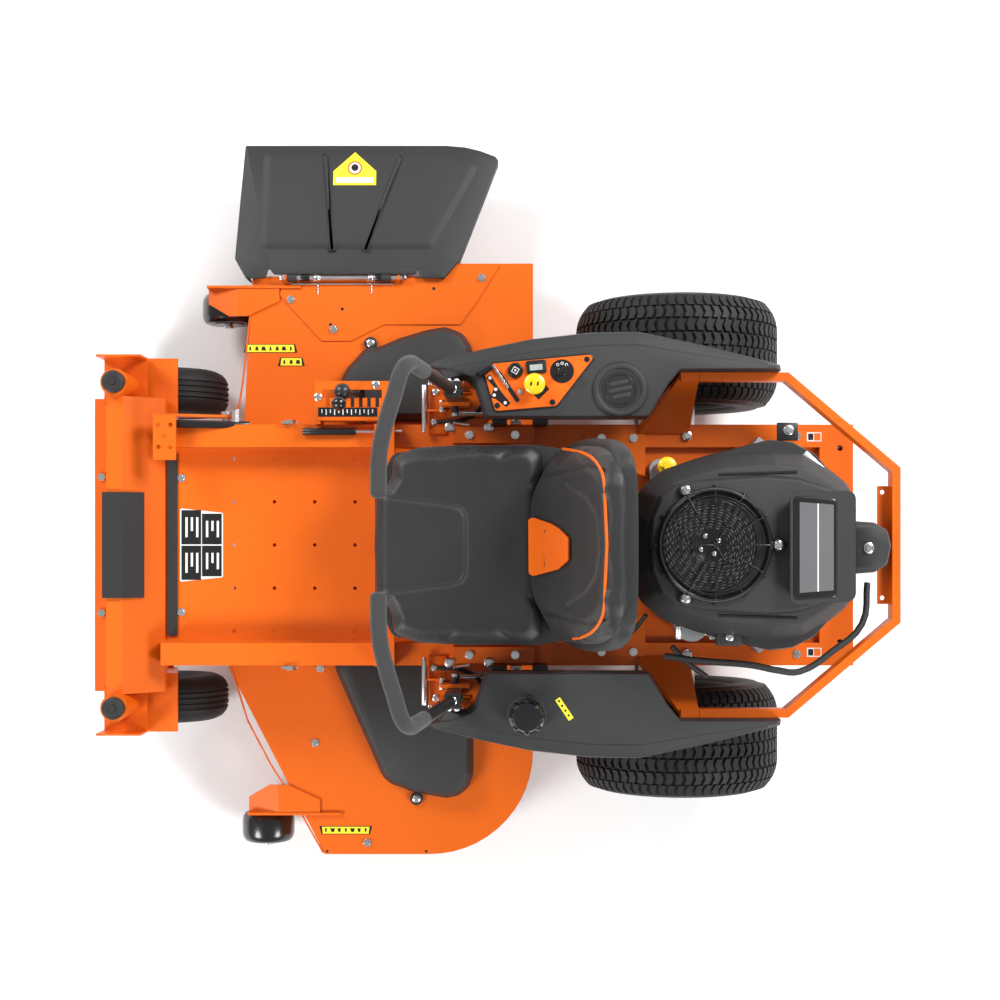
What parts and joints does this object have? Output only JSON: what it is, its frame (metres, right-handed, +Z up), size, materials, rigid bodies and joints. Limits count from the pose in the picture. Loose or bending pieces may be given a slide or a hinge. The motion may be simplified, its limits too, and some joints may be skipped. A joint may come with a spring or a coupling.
{
  "type": "zero turn mower",
  "caption": "Ride-on zero turn lawn mower with twin lap bars, rear engine, caster front wheels and a belt-driven side-discharge deck.",
  "frame": {"origin": "on the ground under the middle of the machine's outside box", "axes": "+X forward, +Y to the operator's left, +Z up"},
  "size_m": [1.7654, 1.654, 0.9253],
  "materials": {
    "orange_paint": "gloss powder coat",
    "black_plastic": "fine moulded grain",
    "black_metal": "satin black paint",
    "vinyl": "grained vinyl with piping",
    "foam": "closed foam",
    "rubber": "matte",
    "tyre": "turf tread",
    "zinc": "bright zinc",
    "alloy": "cast alloy",
    "yellow_plastic": "moulded"
  },
  "bodies": {
    "chassis": {"main_frame": "orange_paint", "front_beam": "orange_paint", "floor_pan": "orange_paint", "rubber_trim": "rubber", "rear_guard": "orange_paint", "fuel_tank": "black_plastic", "console_fender": "black_plastic", "console_panel": "orange_paint", "engine_block": "alloy", "blower_housing": "black_plastic", "fan_guard": "black_plastic", "air_cleaner": "black_plastic", "muffler": "black_metal", "transaxles": "alloy", "traction_belt": "rubber", "battery": "black_plastic", "control_brackets": "orange_paint", "frame_bolts": "zinc"},
    "seat": {"seat_plate": "orange_paint", "seat_cushion": "vinyl", "seat_backrest": "vinyl", "seat_shell": "black_plastic"},
    "left_arm": {"control_arm_left": "black_metal"},
    "right_arm": {"control_arm_right": "black_metal"},
    "left_bar": {"lap_bar_left": "black_metal", "grip_left": "foam"},
    "right_bar": {"lap_bar_right": "black_metal", "grip_right": "foam"},
    "left_rod": {"control_rod_left": "zinc"},
    "right_rod": {"control_rod_right": "zinc"},
    "left_fork": {"caster_fork_left": "orange_paint"},
    "right_fork": {"caster_fork_right": "orange_paint"},
    "left_caster": {"caster_rim_left": "black_plastic", "caster_tyre_left": "tyre"},
    "right_caster": {"caster_rim_right": "black_plastic", "caster_tyre_right": "tyre"},
    "left_wheel": {"rear_rim_left": "black_metal", "rear_tyre_left": "tyre"},
    "right_wheel": {"rear_rim_right": "black_metal", "rear_tyre_right": "tyre"},
    "deck": {"deck_shell": "orange_paint", "belt_covers": "black_plastic", "deck_hardware": "zinc", "deck_belt": "rubber"},
    "left_blade": {"blade_left": "alloy"},
    "middle_blade": {"blade_middle": "alloy"},
    "right_blade": {"blade_right": "alloy"},
    "idler": {"deck_idler": "zinc"},
    "left_roller": {"roller_left": "rubber"},
    "right_roller": {"roller_right": "rubber"},
    "chute": {"discharge_chute": "black_plastic"},
    "pedal": {"lift_pedal": "orange_paint"},
    "height": {"height_lever": "black_metal"},
    "crank": {"crankshaft": "zinc", "fan_screen": "zinc"},
    "key": {"ignition_key": "zinc"},
    "pto": {"pto_knob": "yellow_plastic"},
    "choke": {"choke_lever": "black_plastic"},
    "fuel_cap": {"fuel_cap": "black_plastic"},
    "dipstick": {"dipstick_cap": "yellow_plastic"}
  },
  "joints": [
    {"name": "left_caster_swivel", "type": "hinge", "parent": "chassis", "child": "left_fork", "pos_m": [0.80425, 0.4655, 0.3], "axis": [0, 0, 1], "continuous": true},
    {"name": "left_caster_spin", "type": "hinge", "parent": "left_fork", "child": "left_caster", "pos_m": [0.74325, 0.4655, 0.1395], "axis": [0, 1, 0], "continuous": true},
    {"name": "left_wheel_spin", "type": "hinge", "parent": "chassis", "child": "left_wheel", "pos_m": [-0.43675, 0.5425, 0.2285], "axis": [0, 1, 0], "continuous": true},
    {"name": "left_drive", "type": "hinge", "parent": "chassis", "child": "left_arm", "pos_m": [0.06325, 0.4315, 0.44], "axis": [0, 1, 0], "range_deg": [-12, 20]},
    {"name": "left_swing", "type": "hinge", "parent": "left_arm", "child": "left_bar", "pos_m": [0.06325, 0.4315, 0.565], "axis": [-1, 0, 0], "range_deg": [0, 40]},
    {"name": "left_rod_pivot", "type": "hinge", "parent": "left_arm", "child": "left_rod", "pos_m": [0.06325, 0.3985, 0.398], "axis": [0, 1, 0], "range_deg": [-20, 12]},
    {"name": "right_caster_swivel", "type": "hinge", "parent": "chassis", "child": "right_fork", "pos_m": [0.80425, -0.2425, 0.3], "axis": [0, 0, 1], "continuous": true},
    {"name": "right_caster_spin", "type": "hinge", "parent": "right_fork", "child": "right_caster", "pos_m": [0.74325, -0.2425, 0.1395], "axis": [0, 1, 0], "continuous": true},
    {"name": "right_wheel_spin", "type": "hinge", "parent": "chassis", "child": "right_wheel", "pos_m": [-0.43675, -0.3195, 0.2285], "axis": [0, 1, 0], "continuous": true},
    {"name": "right_drive", "type": "hinge", "parent": "chassis", "child": "right_arm", "pos_m": [0.06325, -0.2085, 0.44], "axis": [0, 1, 0], "range_deg": [-12, 20]},
    {"name": "right_swing", "type": "hinge", "parent": "right_arm", "child": "right_bar", "pos_m": [0.06325, -0.2085, 0.565], "axis": [1, 0, 0], "range_deg": [0, 40]},
    {"name": "right_rod_pivot", "type": "hinge", "parent": "right_arm", "child": "right_rod", "pos_m": [0.06325, -0.1755, 0.398], "axis": [0, 1, 0], "range_deg": [-20, 12]},
    {"name": "deck_lift", "type": "slide", "parent": "chassis", "child": "deck", "axis": [0, 0, 1], "range_m": [-0.04, 0.036], "deforming": ["deck_belt"]},
    {"name": "pedal_swing", "type": "hinge", "parent": "chassis", "child": "pedal", "pos_m": [0.57325, -0.1695, 0.346], "axis": [0, 1, 0], "range_deg": [-13, 12]},
    {"name": "height_select", "type": "hinge", "parent": "chassis", "child": "height", "pos_m": [0.26925, -0.2185, 0.374], "axis": [0, 1, 0], "range_deg": [-40, 25]},
    {"name": "middle_blade_spin", "type": "hinge", "parent": "deck", "child": "middle_blade", "pos_m": [0.30225, 0.1565, 0.084], "axis": [0, 0, 1], "continuous": true},
    {"name": "left_blade_spin", "type": "hinge", "parent": "deck", "child": "left_blade", "pos_m": [0.13325, 0.5885, 0.084], "axis": [0, 0, 1], "continuous": true},
    {"name": "right_blade_spin", "type": "hinge", "parent": "deck", "child": "right_blade", "pos_m": [0.13325, -0.2755, 0.084], "axis": [0, 0, 1], "continuous": true},
    {"name": "idler_swing", "type": "hinge", "parent": "deck", "child": "idler", "pos_m": [0.01325, 0.2495, 0.195], "axis": [0, 0, 1], "range_deg": [-4, 4], "stiffness_Nm_per_rad": 30},
    {"name": "left_roller_spin", "type": "hinge", "parent": "deck", "child": "left_roller", "pos_m": [0.51325, 0.774, 0.105], "axis": [0, 1, 0], "continuous": true},
    {"name": "right_roller_spin", "type": "hinge", "parent": "deck", "child": "right_roller", "pos_m": [0.60725, -0.444, 0.105], "axis": [0, 1, 0], "continuous": true},
    {"name": "chute_hinge", "type": "hinge", "parent": "deck", "child": "chute", "pos_m": [0.26325, -0.504, 0.201], "axis": [-1, 0, 0], "range_deg": [0, 85]},
    {"name": "seat_tilt", "type": "hinge", "parent": "chassis", "child": "seat", "pos_m": [0.21825, 0.1115, 0.473], "axis": [0, 1, 0], "range_deg": [0, 45]},
    {"name": "crank_spin", "type": "hinge", "parent": "chassis", "child": "crank", "pos_m": [-0.45675, 0.1115, 0.5], "axis": [0, 0, 1], "continuous": true},
    {"name": "key_turn", "type": "hinge", "parent": "chassis", "child": "key", "pos_m": [-0.16375, -0.2525, 0.545], "axis": [0, 0, 1], "range_deg": [0, 90]},
    {"name": "pto_pull", "type": "slide", "parent": "chassis", "child": "pto", "axis": [0, 0, 1], "range_m": [0, 0.015]},
    {"name": "choke_swing", "type": "hinge", "parent": "chassis", "child": "choke", "pos_m": [-0.04475, -0.2265, 0.531], "axis": [-0.829, -0.5592, 0], "range_deg": [-12, 40]},
    {"name": "fuel_cap_lift", "type": "slide", "parent": "chassis", "child": "fuel_cap", "axis": [0, 0, 1], "range_m": [0, 0.06]},
    {"name": "dipstick_lift", "type": "slide", "parent": "chassis", "child": "dipstick", "axis": [0, 0, 1], "range_m": [0, 0.06]}
  ],
  "couplings": [
    {"joint": "left_rod_pivot", "follows": "left_drive", "ratio": -1},
    {"joint": "right_rod_pivot", "follows": "right_drive", "ratio": -1},
    {"joint": "pedal_swing", "follows": "deck_lift", "rad_per_m": 5.5},
    {"joint": "left_blade_spin", "follows": "middle_blade_spin", "ratio": 1},
    {"joint": "right_blade_spin", "follows": "middle_blade_spin", "ratio": 1}
  ]
}
